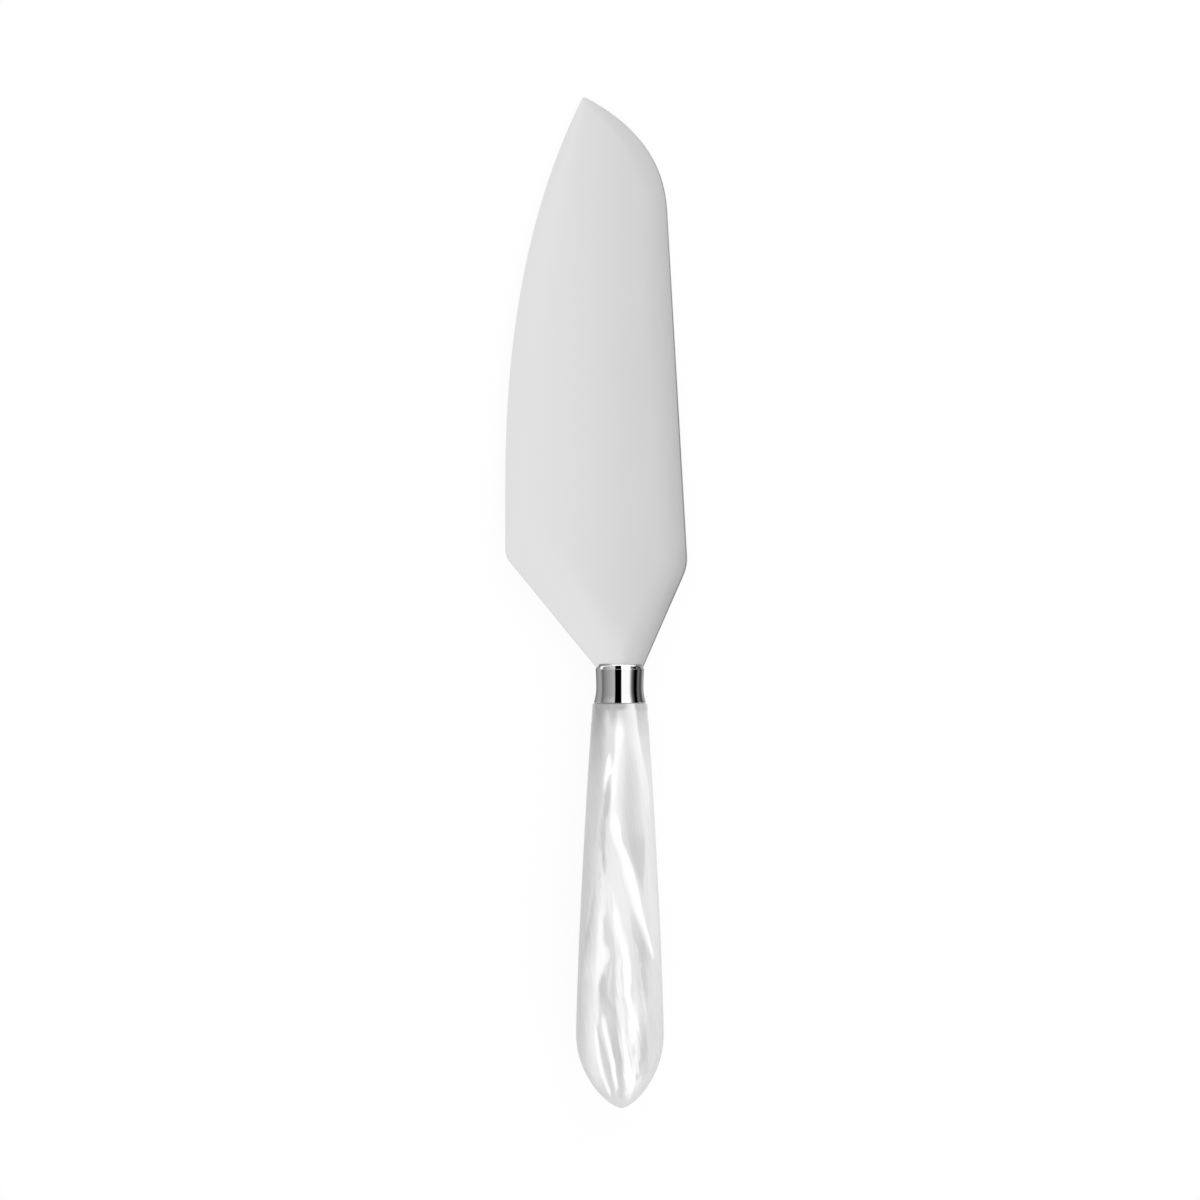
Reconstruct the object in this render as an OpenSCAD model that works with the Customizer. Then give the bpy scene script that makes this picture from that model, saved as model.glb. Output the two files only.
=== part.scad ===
// Cake server: a crowned steel blade on a tang, a polished ferrule and a pearl-effect acrylic
// handle, bonded together with resin.
//
// The server lies face up. +Y runs along the handle's axis to the tip of the blade, +X points
// to the spine side and +Z up. The origin is under the middle of the bounding box, level with
// the belly of the handle, which is the lowest point.
// Each piece is drawn about the handle's axis, with Y = 0 at the blade end of the ferrule, and
// in_place() then moves it to the origin.

/* [Blade outline] */
// Length from the ferrule to the point where the two edges of the tip meet
blade_length = 150.2; // [130:0.2:180]
// Distance of the tip from the axis, on the cutting side
tip_offset = 9.6; // [5:0.1:14]
// Angle between the cutting edge and the axis at the tip
tip_edge_angle = 27.2; // [22:0.2:38]
// Fall of the nose from a square across the axis at the tip
tip_nose_angle = 27; // [16:0.5:36]
// Setback of the small round on the tip
tip_setback = 0.8; // [0.4:0.1:3]
// Reach of the cutting edge from the axis
edge_reach = 30.3; // [25:0.1:38]
// Height of the cutting edge's heel corner above the ferrule
edge_heel = 28.4; // [22:0.2:34]
// Length of the straight stretch above that corner
edge_straight = 20.3; // [12:0.1:36]
// Setback of the round on that corner
edge_heel_setback = 1.8; // [0.6:0.1:5]
// Reach of the spine's heel corner from the axis
spine_reach = 18; // [14:0.1:24]
// Height of the spine's heel corner above the ferrule
spine_heel = 25.9; // [20:0.1:32]
// Setback of the round on that corner
spine_heel_setback = 2.7; // [0.6:0.1:6]
// Lean of the spine towards the axis
spine_lean = 3.3; // [1:0.1:6]
// Depth below the tip at which the nose runs into the spine
nose_depth = 30.2; // [24:0.2:44]

/* [Blade section] */
// Thickness of the flat middle of the blade
blade_thickness = 1.6; // [1.3:0.1:2.4]
// Width of the crown that falls from the flat to the rim
crown_width = 7.5; // [4:0.5:10]
// Fall of the crown on each face
crown_drop = 0.3; // [0.1:0.05:0.5]
// Width of the bevel along the cutting edge
bevel_width = 1.2; // [0.6:0.1:2]
// Length over which the bevel fades in from the tip
bevel_fade = 15; // [8:1:30]
// Thickness left at the cutting edge
edge_thickness = 0.4; // [0.2:0.1:0.7]

/* [Tang] */
// Depth of the tang's end below the blade end of the ferrule
tang_reach = 66; // [45:1:85]
// Width of the tang where it leaves the blade
tang_width = 6; // [4.5:0.1:6.4]
// Width of the tang at its end
tang_end_width = 4.4; // [3.2:0.1:4.6]
// Thickness of the tang
tang_thickness = 1.3; // [1:0.1:1.5]
// Depth of the notches that key the tang into the resin
notch_depth = 0.8; // [0.4:0.1:1.1]
// Number of notches on each side of the tang
notch_count = 3; // [1:1:5]

/* [Ferrule] */
// Length of the ferrule
ferrule_length = 10.3; // [8:0.1:14]
// Diameter of the rounded blade end
ferrule_d = 12.5; // [11.6:0.1:16]
// Radius of the round on that end
ferrule_round = 1.25; // [0.8:0.05:2]
// Step from that end out to the shoulder
ferrule_step = 0.2; // [0.05:0.05:0.5]
// Depth of the waist below the shoulder
waist_depth = 0.2; // [0.05:0.05:0.5]
// Distance of the waist from the blade end
waist_at = 6.1; // [4:0.1:7]
// Flare of the foot beyond the waist
foot_flare = 0.6; // [0.2:0.05:1.2]
// Radius of the rolled lip at the foot
ferrule_lip = 0.3; // [0.15:0.05:0.5]
// Wall of the ferrule at its waist
ferrule_wall = 0.9; // [0.6:0.1:1.2]
// Thickness of the end wall that the blade stands in
ferrule_end_wall = 2.6; // [2:0.1:4]
// Depth of the slot in that wall
slot_depth = 1.1; // [0.6:0.1:1.6]

/* [Handle] */
// Length of the handle
handle_length = 107.2; // [90:0.2:130]
// Step from the ferrule's foot out to the handle's round end
collar_step = 0.4; // [0.1:0.1:1]
// Radius of the edge around that end
collar_round = 0.5; // [0.2:0.1:1]
// Width of the belly
belly_width = 23.2; // [19:0.2:28]
// Thickness of the belly
belly_thickness = 16.6; // [15:0.2:22]
// Distance of the belly from the butt
butt_length = 19.4; // [14:0.2:30]
// Shift of the butt's point from the axis, on the spine side
butt_shift = 0.4; // [0:0.1:1]
// Fullness of the oval section, 2 for an ellipse and more for a squarer one
section_fullness = 2.15; // [2:0.05:3]

/* [Fits] */
// Gap around the blade and the tang where they pass through the ferrule
slot_clearance = 0.05; // [0.02:0.01:0.15]
// Radial gap between the handle's spigot and the ferrule
spigot_clearance = 0.05; // [0.02:0.01:0.15]
// Thickness of the resin beside the tang and in front of the spigot
resin_gap = 0.5; // [0.3:0.1:0.8]
// Depth of the resin below the tang's end
resin_depth = 3; // [1:0.5:6]

/* [Hidden] */

// Steps along each curve and around each section
edge_steps = 22;
nose_steps = 14;
corner_steps = 5;
crown_steps = 4;
body_steps = 22;
butt_steps = 14;
section_steps = 48;
$fn = 96;

// Length by which a cutting tool passes the surface that it cuts through
overcut = 1;
// Exponents of the handle's long swell and of its pointed butt
swell_power = 1.35;
butt_power = 1.9;
butt_root = 0.68;
// Half of the point angle of the drill that bores the handle
drill_half_angle = 59;

// Points and curves in a plane
function unit(v) = v / norm(v);
function mix(a, b, t) = a + (b - a) * t;
function bend(a, b, c, steps) =
    [for (i = [0 : steps]) mix(mix(a, b, i / steps), mix(b, c, i / steps), i / steps)];
function rounded(a, b, c, setback, steps) =
    bend(b + setback * unit(a - b), b, b + setback * unit(c - b), steps);
function meet(a, b, c, d) = a + (b - a) * cross(c - a, d - c) / cross(b - a, d - c);
function inner(points) = [for (i = [1 : len(points) - 2]) points[i]];

// Blade outline, from the tip down the cutting edge, round the neck and up the spine
root_half = ferrule_d / 2 - 2 * slot_clearance;
tip = [-tip_offset, blade_length];
edge_bend = [-edge_reach, blade_length - (edge_reach - tip_offset) / tan(tip_edge_angle)];
edge_corner = [-edge_reach, edge_heel];
edge_low = edge_corner + [0, edge_straight];
edge_root = [-root_half, -slot_depth];
spine_root = [root_half, -slot_depth];
spine_corner = [spine_reach, spine_heel];
spine_rise = blade_length - nose_depth - spine_heel;
nose_low = spine_corner + spine_rise * [-tan(spine_lean), 1];
nose_ray = [cos(tip_nose_angle), -sin(tip_nose_angle)];
nose_bend = meet(tip, tip + nose_ray, spine_corner, nose_low);
neck_apex = meet(edge_corner, edge_root, spine_corner, spine_root);
tip_points = rounded(nose_bend, tip, edge_bend, tip_setback, corner_steps);
edge_points = concat(inner(bend(tip, edge_bend, edge_low, edge_steps)), [edge_low]);
neck_points = concat(
    rounded(edge_low, edge_corner, edge_root, edge_heel_setback, corner_steps),
    [neck_apex],
    rounded(spine_root, spine_corner, nose_low, spine_heel_setback, corner_steps)
);
nose_points = concat([nose_low], inner(bend(nose_low, nose_bend, tip, nose_steps)));
blade_outline = concat(tip_points, edge_points, neck_points, nose_points);

// The line where the bevel starts: the same outline with its cutting edge drawn in
bevel_points = [for (p = edge_points) p + [bevel_width * min(1, norm(p - tip) / bevel_fade), 0]];
bevel_outline = concat(tip_points, bevel_points, neck_points, nose_points);

// Ferrule, handle spigot and bore for the tang
shoulder_r = ferrule_d / 2 + ferrule_step;
waist_r = shoulder_r - waist_depth;
foot_r = waist_r + foot_flare;
ferrule_bore_r = waist_r - ferrule_wall;
spigot_r = ferrule_bore_r - spigot_clearance;
spigot_length = ferrule_length - ferrule_end_wall - resin_gap;
tang_bore_r = tang_width / 2 + resin_gap;
tang_bore_end = tang_reach + resin_depth;
collar_r = foot_r + collar_step;
belly_at = handle_length - butt_length;

// Place of the bounding box about the handle's axis
outline_x = [for (p = blade_outline) p.x];
outline_y = [for (p = blade_outline) p.y];
box_left = min(min(outline_x), -belly_width / 2);
box_right = max(max(outline_x), belly_width / 2);
box_top = max(outline_y);
box_bottom = -ferrule_length - handle_length;

module in_place() {
    translate([-(box_left + box_right) / 2, -(box_bottom + box_top) / 2, belly_thickness / 2])
        children();
}

// A solid of revolution about the handle's axis: the profile holds radii and heights along Y.
module turned() {
    rotate([-90, 0, 0])
        rotate_extrude()
            children();
}

// A round bar along the handle's axis, from one height down to another.
module bar(radius, from, to) {
    translate([0, to, 0])
        rotate([-90, 0, 0])
            cylinder(r = radius, h = from - to);
}

// One layer of the blade.
module blade_layer(thickness) {
    linear_extrude(thickness, center = true)
        children();
}

// The blade's plate: a flat middle that falls away in a soft crown to the rim, and a bevel
// down to the cutting edge, the same on both faces.
module blade_plate() {
    hull() {
        blade_layer(edge_thickness)
            polygon(edge_points);
        blade_layer(blade_thickness - 2 * crown_drop)
            polygon(bevel_outline);
        for (i = [1 : crown_steps]) {
            share = i / crown_steps;
            blade_layer(blade_thickness - 2 * crown_drop * pow(1 - share, 2))
                offset(delta = -share * crown_width)
                    polygon(blade_outline);
        }
    }
}

// The tang's outline, tapered, with V notches down both sides and clipped corners at its end.
module tang_outline() {
    root_x = tang_width / 2;
    end_x = tang_end_width / 2;
    clip = end_x / 2;
    difference() {
        polygon([
            [-root_x, -slot_depth / 2],
            [root_x, -slot_depth / 2],
            [end_x, -tang_reach + clip],
            [end_x - clip, -tang_reach],
            [clip - end_x, -tang_reach],
            [-end_x, -tang_reach + clip]
        ]);
        for (side = [-1, 1], i = [1 : notch_count]) {
            notch_y = mix(-ferrule_length, -tang_reach, i / (notch_count + 1));
            notch_x = mix(root_x, end_x, -notch_y / tang_reach);
            translate([side * notch_x, notch_y])
                rotate(45)
                    square(notch_depth * sqrt(2), center = true);
        }
    }
}

module tang() {
    translate([0, 0, -tang_thickness / 2])
        linear_extrude(tang_thickness)
            tang_outline();
}

// Blade and tang, cut from one piece of stainless steel.
module blade() {
    cut_width = 2 * edge_reach;
    color([0.83, 0.83, 0.84])
        in_place() {
            difference() {
                blade_plate();
                translate([-cut_width / 2, -slot_depth - cut_width, -cut_width / 2])
                    cube(cut_width);
            }
            tang();
        }
}

// Half of the ferrule's waist: the stretch of a circle that grazes the waist and passes
// through a radius and height above or below it.
module waist_arc(radius, height) {
    rise = height + waist_at;
    flare = radius - waist_r;
    arc_r = (rise * rise + flare * flare) / (2 * flare);
    intersection() {
        translate([waist_r + arc_r, -waist_at])
            circle(arc_r);
        translate([0, min(height, -waist_at)])
            square([arc_r, abs(rise)]);
    }
}

module ferrule_profile() {
    flat_r = ferrule_d / 2 - ferrule_round;
    widest_r = max(shoulder_r, foot_r);
    difference() {
        union() {
            translate([0, -ferrule_round])
                square([flat_r, ferrule_round]);
            translate([flat_r, -ferrule_round])
                intersection() {
                    circle(ferrule_round);
                    square(ferrule_round);
                }
            translate([0, -ferrule_length + ferrule_lip])
                square([widest_r, ferrule_length - ferrule_lip - ferrule_round]);
            translate([0, -ferrule_length])
                square([foot_r - ferrule_lip, ferrule_lip]);
            translate([foot_r - ferrule_lip, -ferrule_length + ferrule_lip])
                circle(ferrule_lip);
        }
        waist_arc(shoulder_r, -ferrule_round);
        waist_arc(foot_r, -ferrule_length + ferrule_lip);
        translate([0, -ferrule_length - overcut])
            square([ferrule_bore_r, ferrule_length - ferrule_end_wall + overcut]);
    }
}

// Polished collar: a turned cup whose end wall has a slot for the blade and a hole for the tang.
module ferrule() {
    slot_width = ferrule_d + 2 * overcut;
    slot_height = max(blade_thickness, tang_thickness) + 2 * slot_clearance;
    hole_width = tang_width + 2 * slot_clearance;
    hole_height = tang_thickness + 2 * slot_clearance;
    color([0.92, 0.92, 0.93])
        in_place()
            difference() {
                turned()
                    ferrule_profile();
                translate([-slot_width / 2, -slot_depth, -slot_height / 2])
                    cube([slot_width, slot_depth + overcut, slot_height]);
                translate([-hole_width / 2, -ferrule_end_wall - overcut, -hole_height / 2])
                    cube([hole_width, ferrule_end_wall + overcut, hole_height]);
            }
}

// Half width or half thickness of the handle at a distance from the ferrule, for a belly of
// the given half size.
function swell(distance, belly) =
    distance < belly_at
    ? mix(collar_r, belly, 1 - pow(1 - distance / belly_at, swell_power))
    : belly * pow(1 - pow((distance - belly_at) / butt_length, butt_power), butt_root);

// Distances of the handle's sections from the ferrule, closer together towards the butt.
section_at = concat(
    [for (i = [0 : corner_steps]) collar_round * (1 - cos(90 * i / corner_steps))],
    [for (i = [1 : body_steps]) mix(collar_round, belly_at, i / body_steps)],
    [for (i = [1 : butt_steps - 1]) mix(belly_at, handle_length, sin(90 * i / butt_steps))]
);
// How far the round on the collar's edge draws a section in.
function collar_inset(distance) =
    distance < collar_round
    ? collar_round - sqrt(pow(collar_round, 2) - pow(collar_round - distance, 2))
    : 0;
// How far the middle of a section lies off the axis.
function butt_drift(distance) = butt_shift * pow(max(0, distance - belly_at) / butt_length, 2);
// A cosine or sine on the oval, which turns from a circle at the ferrule to its full shape at the belly.
function oval(wave, distance) =
    mix(wave, sign(wave) * pow(abs(wave), 2 / section_fullness), min(1, distance / belly_at));
function section(distance) =
    let (
        half_x = swell(distance, belly_width / 2) - collar_inset(distance),
        half_z = swell(distance, belly_thickness / 2) - collar_inset(distance)
    )
    [for (i = [0 : section_steps - 1])
        let (turn = 360 * i / section_steps)
        [
            butt_drift(distance) + half_x * oval(cos(turn), distance),
            -ferrule_length - distance,
            half_z * oval(sin(turn), distance)
        ]];

// The handle's outside, round at the ferrule, oval at the belly and pointed at the butt.
module handle_body() {
    sections = len(section_at);
    butt = sections * section_steps;
    points = concat([for (d = section_at) each section(d)], [[butt_shift, box_bottom, 0]]);
    function at(ring, i) = ring * section_steps + (i % section_steps);
    sides = [for (ring = [0 : sections - 2], i = [0 : section_steps - 1]) each [
        [at(ring, i), at(ring + 1, i), at(ring + 1, i + 1)],
        [at(ring, i), at(ring + 1, i + 1), at(ring, i + 1)]
    ]];
    front = [[for (i = [0 : section_steps - 1]) i]];
    end = [for (i = [0 : section_steps - 1]) [at(sections - 1, i), butt, at(sections - 1, i + 1)]];
    polyhedron(points, concat(front, sides, end));
}

// The blind bore in the handle: straight from the spigot's face, with the drill's cone at its end.
module tang_bore(front) {
    cone_depth = tang_bore_r / tan(drill_half_angle);
    bar(tang_bore_r, front, -tang_bore_end);
    translate([0, -tang_bore_end, 0])
        rotate([90, 0, 0])
            cylinder(r1 = tang_bore_r, r2 = 0, h = cone_depth);
}

// Cast acrylic handle with a spigot that fits the ferrule.
module handle() {
    spigot_face = -ferrule_length + spigot_length;
    color([0.93, 0.93, 0.92])
        in_place()
            difference() {
                union() {
                    handle_body();
                    bar(spigot_r, spigot_face, -ferrule_length - collar_round);
                }
                tang_bore(spigot_face + overcut);
            }
}

// Cured resin that fills the bore around the tang and the gap in front of the spigot.
module tang_resin() {
    color([0.85, 0.8, 0.66])
        in_place()
            difference() {
                union() {
                    tang_bore(-ferrule_end_wall - resin_gap / 2);
                    bar(ferrule_bore_r, -ferrule_end_wall, -ferrule_end_wall - resin_gap);
                }
                tang();
            }
}

blade();
ferrule();
handle();
tang_resin();
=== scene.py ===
import math

import bmesh
import bpy
from bpy.props import FloatProperty, FloatVectorProperty, PointerProperty
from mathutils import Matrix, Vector
from mathutils.geometry import intersect_point_line


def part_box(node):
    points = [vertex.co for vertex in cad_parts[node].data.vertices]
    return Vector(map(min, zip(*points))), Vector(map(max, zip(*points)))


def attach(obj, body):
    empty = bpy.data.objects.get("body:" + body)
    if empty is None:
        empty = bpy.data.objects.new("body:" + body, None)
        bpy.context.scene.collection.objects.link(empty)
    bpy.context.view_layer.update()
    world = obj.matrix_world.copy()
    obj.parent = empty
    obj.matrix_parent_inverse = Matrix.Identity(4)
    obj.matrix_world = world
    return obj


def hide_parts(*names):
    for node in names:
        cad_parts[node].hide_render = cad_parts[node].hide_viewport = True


bl_info = {
    "name": "Cake Server",
    "version": (1, 0, 0),
    "blender": (4, 5, 0),
    "location": "View3D > Sidebar > Cake Server",
    "description": "Dresses a cake server: satin blade, polished ferrule and pearl acrylic handle",
    "category": "Object",
}

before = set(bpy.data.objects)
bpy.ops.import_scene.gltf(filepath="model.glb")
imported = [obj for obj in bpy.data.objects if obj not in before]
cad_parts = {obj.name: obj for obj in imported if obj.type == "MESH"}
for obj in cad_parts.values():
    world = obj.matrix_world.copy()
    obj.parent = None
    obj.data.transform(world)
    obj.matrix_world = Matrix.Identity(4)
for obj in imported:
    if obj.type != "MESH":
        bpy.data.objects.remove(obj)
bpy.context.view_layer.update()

MM = 0.001
MERGE = 0.002 * MM
SHARP_ANGLE = math.radians(40)
WHITE = (1, 1, 1, 1)
# Levels that most of a noise lies between, and the shades of a steel's faint cloudiness.
NOISE_RANGE = (0.3, 0.7)
FAINT_SHADES = (0.985, 1)

# Places that the frame gives: the handle's axis, and heights along it.
FERRULE_LOW, FERRULE_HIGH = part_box("ferrule")
HANDLE_LOW, HANDLE_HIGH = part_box("handle")
BLADE_LOW, BLADE_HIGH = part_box("blade")
BORE_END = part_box("tang_resin")[0].y
AXIS_X = (HANDLE_LOW.x + HANDLE_HIGH.x) / 2
AXIS_Z = (HANDLE_LOW.z + HANDLE_HIGH.z) / 2
FERRULE_TOP = FERRULE_HIGH.y
FERRULE_FOOT = FERRULE_LOW.y
FOOT_RADIUS = (FERRULE_HIGH.z - FERRULE_LOW.z) / 2
BELLY_HALF_WIDTH = (HANDLE_HIGH.x - HANDLE_LOW.x) / 2
BELLY_HALF_DEPTH = (HANDLE_HIGH.z - HANDLE_LOW.z) / 2
BLADE_HALF_THICKNESS = (BLADE_HIGH.z - BLADE_LOW.z) / 2
HANDLE_LENGTH = FERRULE_FOOT - HANDLE_LOW.y


def linear(code):
    """An sRGB hex colour as linear red, green and blue."""
    def channel(pair):
        value = int(pair, 16) / 255
        return value / 12.92 if value <= 0.04045 else ((value + 0.055) / 1.055) ** 2.4
    return tuple(channel(code[i:i + 2]) for i in (1, 3, 5))


def length(name, description, millimetres):
    """A size that the user can change, given in millimetres."""
    return FloatProperty(name=name, description=description, default=millimetres * MM,
                         min=0, subtype="DISTANCE", unit="LENGTH", precision=5)


def share(name, description, value):
    """A value from 0 to 1 that the user can change."""
    return FloatProperty(name=name, description=description, default=value,
                         min=0, max=1, subtype="FACTOR")


def tint(name, description, code):
    """A colour that the user can change, given as an sRGB hex value."""
    return FloatVectorProperty(name=name, description=description, default=linear(code),
                               min=0, max=1, size=3, subtype="COLOR")


class BladeSettings(bpy.types.PropertyGroup):
    """Sizes and finish of the blade"""
    crown_width: length("Crown width", "Width of the crown, from the flat to the rim", 7.5)
    crown_drop: length("Crown drop", "Fall of the crown on each face", 0.3)
    tip_fade: length("Tip fade", "Length below the tip over which the crown gets its width", 45)
    neck_drop: length("Neck drop", "Fall of the crown on the neck", 0.45)
    neck_height: length("Neck height", "Height of the neck above the ferrule", 25.9)
    neck_crown: length("Neck crown", "Width of the crown on the neck below the heel", 13)
    rim_round: length("Rim round", "Radius of the round on the spine and the neck", 0.3)
    bevel_width: length("Bevel width", "Width of the bevel along the cutting edge", 1.2)
    bevel_fade: length("Bevel fade", "Length over which the bevel fades in from the tip", 15)
    heel_height: length("Heel height", "Height above the ferrule at which the bevel ends", 30.2)
    heel_fade: length("Heel fade", "Length over which the bevel fades in above the heel", 18.5)
    edge_thickness: length("Edge thickness", "Thickness left at the cutting edge", 0.4)
    nose_depth: length("Nose depth", "Depth below the tip at which the nose meets the spine", 30.2)
    slot_depth: length("Slot depth", "Depth of the blade's root in the ferrule", 1.1)
    steel: tint("Steel", "Colour of the satin stainless steel", "#e4e4e4")
    roughness: share("Roughness", "Roughness of the satin finish", 0.18)


class FerruleSettings(bpy.types.PropertyGroup):
    """Sizes and finish of the ferrule"""
    end_diameter: length("End diameter", "Diameter of the rounded blade end", 12.6)
    end_height: length("End height", "Height of that end above the shoulder", 1.25)
    end_round: length("End round", "Radius of the round on that end", 1.15)
    end_slope: FloatProperty(name="End slope", description="Slope from the round to the shoulder",
                             default=math.radians(17), min=0, max=math.radians(60), subtype="ANGLE")
    end_step: length("End step", "Step from that end out to the shoulder", 0.15)
    waist_depth: length("Waist depth", "Depth of the waist below the shoulder", 0.2)
    waist_at: length("Waist place", "Distance of the waist from the blade end", 6.1)
    shoulder_round: length("Shoulder round", "Radius of the round on the shoulder", 0.1)
    lip: length("Lip", "Radius of the rolled lip at the foot", 0.3)
    wall: length("Wall", "Wall of the ferrule at its waist", 0.9)
    end_wall: length("End wall", "Thickness of the wall that the blade stands in", 2.6)
    tang_width: length("Tang width", "Width of the tang in that wall", 6)
    tang_thickness: length("Tang thickness", "Thickness of the tang", 1.3)
    clearance: length("Clearance", "Gap around the blade and the tang in that wall", 0.05)
    steel: tint("Steel", "Colour of the polished steel", "#fbfbfb")


class HandleSettings(bpy.types.PropertyGroup):
    """Sizes and finish of the handle"""
    collar_step: length("Collar step", "Step from the ferrule's foot out to the handle", 0.4)
    collar_round: length("Collar round", "Radius of the edge around the collar", 0.5)
    butt_length: length("Butt length", "Distance of the belly from the butt", 19.4)
    butt_shift: length("Butt shift", "Shift of the butt's point towards the spine side", 0.4)
    fullness: FloatProperty(name="Fullness", default=2.15, min=2, max=3,
                            description="Fullness of the oval section, 2 for an ellipse")
    spigot_radius: length("Spigot radius", "Radius of the spigot in the ferrule", 5.3)
    bore_radius: length("Bore radius", "Radius of the bore for the tang", 3.5)
    pearl_shade: tint("Pearl shade", "Darkest tone of the pearl", "#8a8a8a")
    pearl_body: tint("Pearl body", "Middle tone of the pearl", "#d7d7d7")
    pearl_light: tint("Pearl light", "Lightest tone of the pearl", "#ffffff")
    roughness: share("Roughness", "Roughness of the polished acrylic", 0.06)


class StageSettings(bpy.types.PropertyGroup):
    """Camera, floor and light"""
    frame_width: length("Frame width", "Width that the camera sees at the blade", 317.46)
    aim_x: FloatProperty(name="Aim X", description="Middle of the picture across the handle's axis",
                         default=-5.265 * MM, subtype="DISTANCE", unit="LENGTH", precision=5)
    aim_y: FloatProperty(name="Aim Y", description="Middle of the picture above the ferrule",
                         default=16.93 * MM, subtype="DISTANCE", unit="LENGTH", precision=5)
    lens: FloatProperty(name="Lens", description="Focal length", default=100, unit="CAMERA")
    tent: share("Tent", "Light of the white tent all around", 0.75)
    fill: FloatProperty(name="Fill", description="Light of the two panels at the ends",
                        default=1.75, min=0)
    floor: tint("Floor", "Colour of the paper floor", "#fcfcfc")
    glow: share("Glow", "Share of the floor that is plain white", 0.9)


def add(tree, kind, inputs=None, **settings):
    """Adds a shader node with its settings, and sets or links its inputs. A node that is given
    as an input stands for its first output."""
    node = tree.nodes.new("ShaderNode" + kind)
    for name, value in settings.items():
        setattr(node, name, value)
    for key, value in (inputs or {}).items():
        source = value.outputs[0] if isinstance(value, bpy.types.Node) else value
        if isinstance(source, bpy.types.NodeSocket):
            tree.links.new(source, node.inputs[key])
        else:
            node.inputs[key].default_value = source
    return node


def calc(tree, operation, *values):
    """A Math node over values, sockets or nodes."""
    return add(tree, "Math", dict(enumerate(values)), operation=operation)


def remap(tree, value, start, end, low=0, high=1, **settings):
    """A node that carries a value over from one range to another."""
    return add(tree, "MapRange", {"Value": value, "From Min": start, "From Max": end,
                                  "To Min": low, "To Max": high}, **settings)


def toned(tree, colour, shade):
    """A colour darkened by a shade, from 0 to 1."""
    return add(tree, "VectorMath", {0: colour, "Scale": shade}, operation="SCALE")


def colour_ramp(tree, value, stops):
    """A colour ramp over a value, with its stops as pairs of place and colour."""
    ramp = add(tree, "ValToRGB", {0: value})
    elements = ramp.color_ramp.elements
    while len(elements) < len(stops):
        elements.new(0.5)
    for element, (place, colour) in zip(elements, stops):
        element.position = place
        element.color = (*colour, 1)
    return ramp


def grey_ramp(tree, value, start, end, tones):
    """A ramp of greys, with its tones as pairs of place and level, for a value that runs from 0
    at the start to 1 at the end of these places."""
    return colour_ramp(tree, value, [((at - start) / (end - start), (level,) * 3)
                                     for at, level in tones])


def new_material(name):
    """A new material, its node tree, and the place on the object that wears it."""
    material = bpy.data.materials.new(name)
    material.use_nodes = True
    tree = material.node_tree
    tree.nodes.clear()
    return material, tree, add(tree, "TexCoord").outputs["Object"]


def with_surface(material, shader):
    """The material, with a shader as its surface."""
    add(material.node_tree, "OutputMaterial", {"Surface": shader})
    return material


def new_object(bm, name):
    """An object in the scene with a bmesh as its mesh."""
    mesh = bpy.data.meshes.new(name)
    bm.to_mesh(mesh)
    bm.free()
    thing = bpy.data.objects.new(name, mesh)
    bpy.context.scene.collection.objects.link(thing)
    return thing


def finish_piece(bm, name, node, material):
    """Turns a bmesh into the piece that stands for a CAD node."""
    piece = new_object(bm, name)
    piece.data.set_sharp_from_angle(angle=SHARP_ANGLE)
    piece.data.materials.append(material)
    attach(piece, "root")
    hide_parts(node)
    return piece


def cad_copy(node):
    """A bmesh copy of a CAD node, with its loose triangles joined."""
    bm = bmesh.new()
    bm.from_mesh(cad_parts[node].data)
    bmesh.ops.remove_doubles(bm, verts=bm.verts, dist=MERGE)
    return bm


# Blade

BLADE_COLUMNS = 64
BLADE_ROWS = 220
# How fast the crown gets its width and its drop below the tip, as powers, and the share of
# the way down that counts at the tip itself.
TIP_WIDTH_POWER = 0.5
TIP_DROP_POWER = 0.75
TIP_LEAST = 0.001
# How far the satin's roughness strays from its middle.
ROUGHNESS_SPREAD = 0.03


def blade_outline(root_y):
    """The blade's outline at mid thickness: the cutting edge and the spine, from root to tip."""
    bm = cad_copy("blade")
    everything = bm.verts[:] + bm.edges[:] + bm.faces[:]
    cut = bmesh.ops.bisect_plane(bm, geom=everything, dist=MERGE,
                                 plane_co=(0, 0, AXIS_Z), plane_no=(0, 0, 1))["geom_cut"]
    places = [v.co.xy.copy() for v in cut if isinstance(v, bmesh.types.BMVert)]
    bm.free()
    # The tang leaves the root between its two ends, so only those two count there.
    root = [p for p in places if abs(p.y - root_y) < MERGE]
    points = [p for p in places if p.y > root_y + MERGE]
    points += [min(root, key=lambda p: p.x), max(root, key=lambda p: p.x)]
    tip = max(points, key=lambda p: p.y)
    middle = Vector((AXIS_X, root_y))
    chord = tip - middle
    edge = sorted((p for p in points if chord.cross(p - middle) > 0), key=lambda p: p.y)
    spine = sorted((p for p in points if chord.cross(p - middle) < 0), key=lambda p: p.y)
    return edge + [tip], spine + [tip]


def along(points, shares):
    """Points on a polyline at the given shares of its length."""
    steps = [(b - a).length for a, b in zip(points, points[1:])]
    total = sum(steps)
    found = []
    index, passed = 0, 0.0
    for wanted in (s * total for s in shares):
        while index < len(steps) - 1 and passed + steps[index] < wanted:
            passed += steps[index]
            index += 1
        part = min(1, (wanted - passed) / steps[index])
        found.append(points[index].lerp(points[index + 1], part))
    return found


def split_at_height(points, height):
    """A row of points sorted by height, in two rows that share a point at the given height."""
    low = [p for p in points if p.y < height]
    high = [p for p in points if p.y >= height]
    a, b = low[-1], high[0]
    joint = a.lerp(b, (height - a.y) / (b.y - a.y))
    return low + [joint], [joint] + high


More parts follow.
